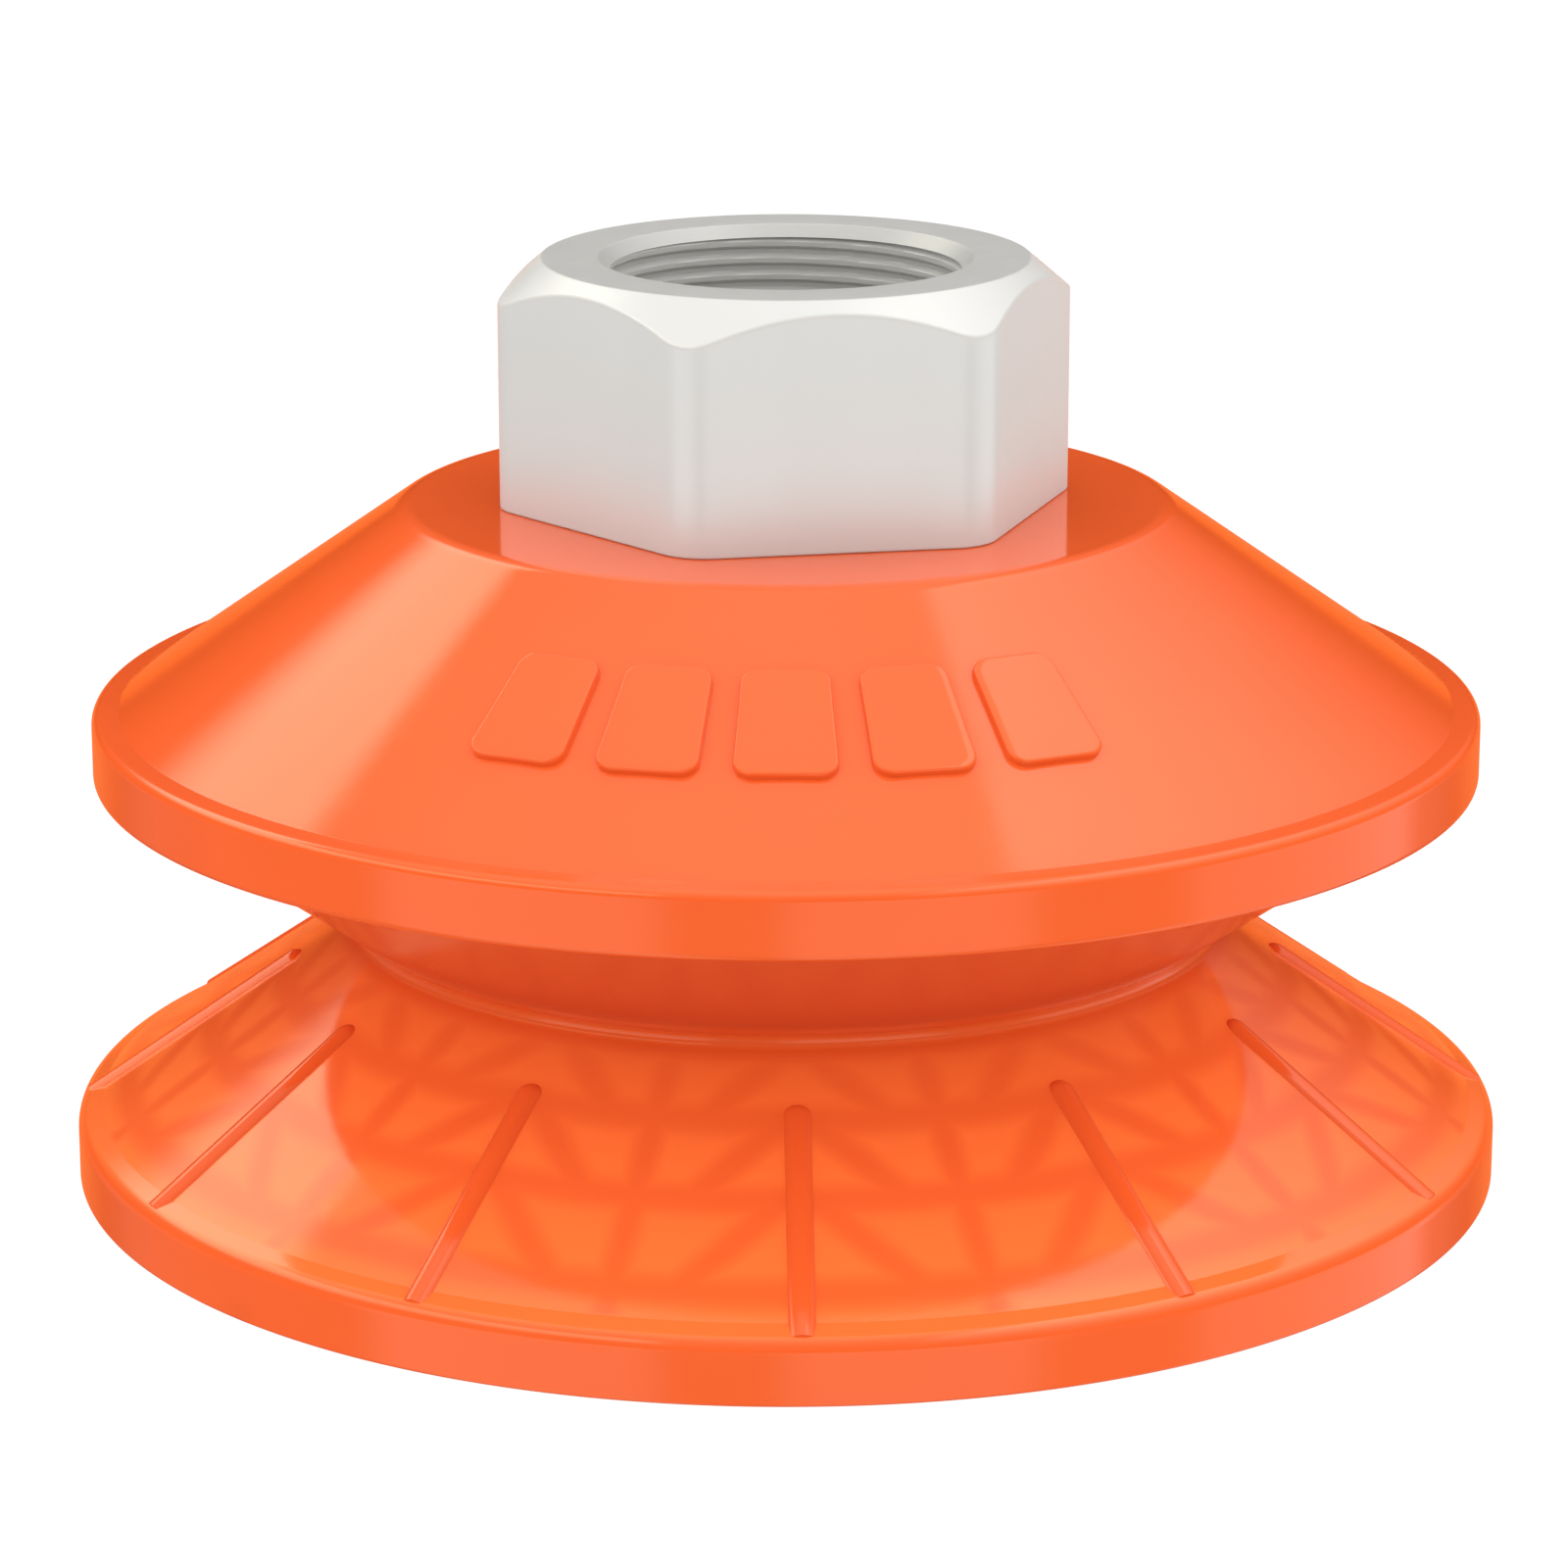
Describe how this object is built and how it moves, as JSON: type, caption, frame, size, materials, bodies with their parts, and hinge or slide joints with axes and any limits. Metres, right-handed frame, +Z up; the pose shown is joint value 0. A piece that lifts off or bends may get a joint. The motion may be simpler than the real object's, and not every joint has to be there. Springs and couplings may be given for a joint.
{
  "type": "vacuum suction cup",
  "caption": "Round bellows suction cup of translucent orange polyurethane with a ribbed lower cone, an inner cleat pattern and a hexagonal fitting with a female pipe thread and filter.",
  "frame": {"origin": "centre of the lip's flat sealing face, at the bottom of the cup", "axes": "+Z up along the thread's axis, away from the workpiece; +X to the right seen from the front, where the raised tiles are; -Y to the front"},
  "size_m": [0.0678, 0.0678, 0.0435],
  "materials": {
    "fitting_aluminium": "satin, machined",
    "filter_wire": "woven stainless wire",
    "snap_ring_steel": "dark phosphated spring steel",
    "cup_polyurethane": "glossy, translucent orange",
    "lip_polyurethane": "glossy, translucent orange, softer grade"
  },
  "bodies": {
    "head": {"hex_fitting": "fitting_aluminium", "filter_mesh": "filter_wire", "filter_snap_ring": "snap_ring_steel", "collar": "cup_polyurethane", "upper_wall": "cup_polyurethane", "raised_tiles": "cup_polyurethane"},
    "bellows_rim": {"upper_rim": "cup_polyurethane", "inner_wall": "cup_polyurethane"},
    "bellows_waist": {"waist_ring": "cup_polyurethane", "lower_wall": "lip_polyurethane", "lip_ribs": "lip_polyurethane", "friction_cleats": "lip_polyurethane"},
    "lip": {"lip_rim": "lip_polyurethane"}
  },
  "joints": [
    {"name": "upper_fold", "type": "slide", "parent": "head", "child": "bellows_rim", "axis": [0, 0, 1], "range_m": [0, 0.004], "stiffness_N_per_m": 1750, "deforming": ["upper_wall", "raised_tiles"]},
    {"name": "inner_fold", "type": "slide", "parent": "bellows_rim", "child": "bellows_waist", "axis": [0, 0, 1], "range_m": [0, 0.004], "stiffness_N_per_m": 1750, "deforming": ["inner_wall"]},
    {"name": "lower_fold", "type": "slide", "parent": "bellows_waist", "child": "lip", "axis": [0, 0, 1], "range_m": [0, 0.0045], "stiffness_N_per_m": 1750, "deforming": ["lower_wall", "lip_ribs", "friction_cleats"]}
  ],
  "couplings": [
    {"joint": "inner_fold", "follows": "upper_fold", "ratio": 1},
    {"joint": "lower_fold", "follows": "upper_fold", "ratio": 1.125}
  ]
}
